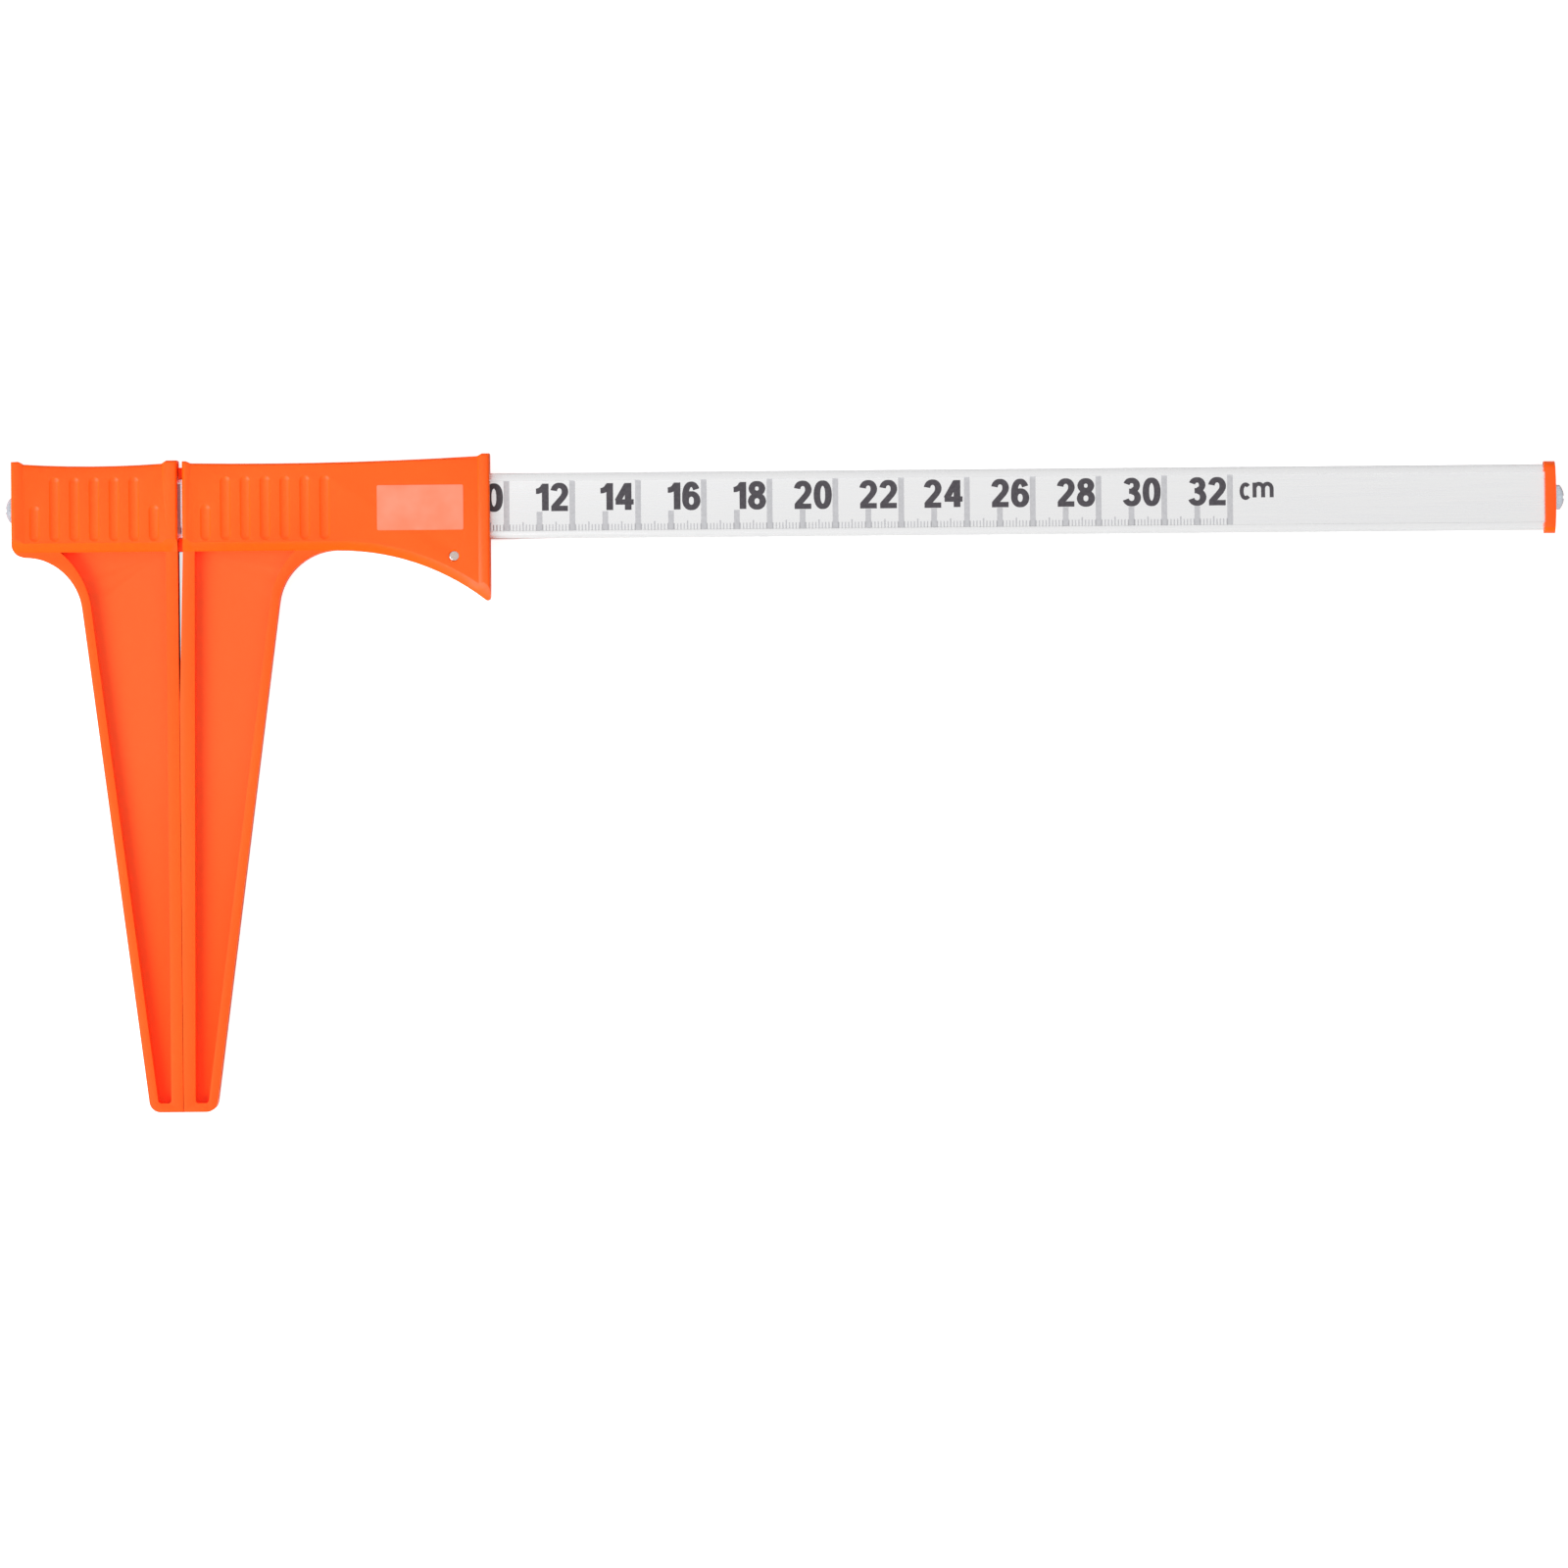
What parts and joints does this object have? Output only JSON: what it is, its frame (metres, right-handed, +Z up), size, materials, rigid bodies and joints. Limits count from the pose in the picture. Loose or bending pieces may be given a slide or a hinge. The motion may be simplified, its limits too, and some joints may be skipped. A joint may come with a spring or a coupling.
{
  "type": "log caliper",
  "caption": "Pocket log caliper: fixed and sliding jaws with tapered, pocketed blades and fluted grips on a flat hollow beam, with a finger arch, an end cap and a roller bearing.",
  "frame": {"origin": "under the middle of the caliper's bounding box, on the plane that its back lies on", "axes": "+X along the beam from the fixed jaw to the end cap, +Y away from the jaw tips, +Z up out of the face with the scale"},
  "size_m": [0.4742, 0.1994, 0.0162],
  "materials": {
    "orange_plastic": "satin moulded",
    "anodised_aluminium": "satin natural anodised",
    "zinc_plated_steel": "bright zinc",
    "ground_steel": "ground and polished",
    "pressed_steel": "pressed"
  },
  "bodies": {
    "beam_body": {"beam": "anodised_aluminium", "fixed_jaw": "orange_plastic", "fixed_jaw_screw": "zinc_plated_steel", "end_cap": "orange_plastic", "end_cap_screw": "zinc_plated_steel"},
    "slider": {"sliding_jaw": "orange_plastic", "roller_pin": "ground_steel", "bearing_inner_ring": "ground_steel"},
    "roller": {"bearing_outer_ring": "ground_steel", "bearing_front_shield": "pressed_steel", "bearing_rear_shield": "pressed_steel"},
    "ball_set": {"bearing_front_cage": "pressed_steel", "bearing_rear_cage": "pressed_steel", "bearing_ball_1": "ground_steel", "bearing_ball_2": "ground_steel", "bearing_ball_3": "ground_steel", "bearing_ball_4": "ground_steel", "bearing_ball_5": "ground_steel", "bearing_ball_6": "ground_steel", "bearing_ball_7": "ground_steel"}
  },
  "joints": [
    {"name": "jaw_slide", "type": "slide", "parent": "beam_body", "child": "slider", "axis": [1, 0, 0], "range_m": [0, 0.3203]},
    {"name": "roller_spin", "type": "hinge", "parent": "slider", "child": "roller", "pos_m": [-0.10055, 0.06864, 0.0081], "axis": [0, 0, 1], "continuous": true},
    {"name": "ball_set_spin", "type": "hinge", "parent": "slider", "child": "ball_set", "pos_m": [-0.10055, 0.06864, 0.0081], "axis": [0, 0, 1], "continuous": true}
  ],
  "couplings": [
    {"joint": "roller_spin", "follows": "jaw_slide", "rad_per_m": 200},
    {"joint": "ball_set_spin", "follows": "jaw_slide", "rad_per_m": 124.43}
  ]
}
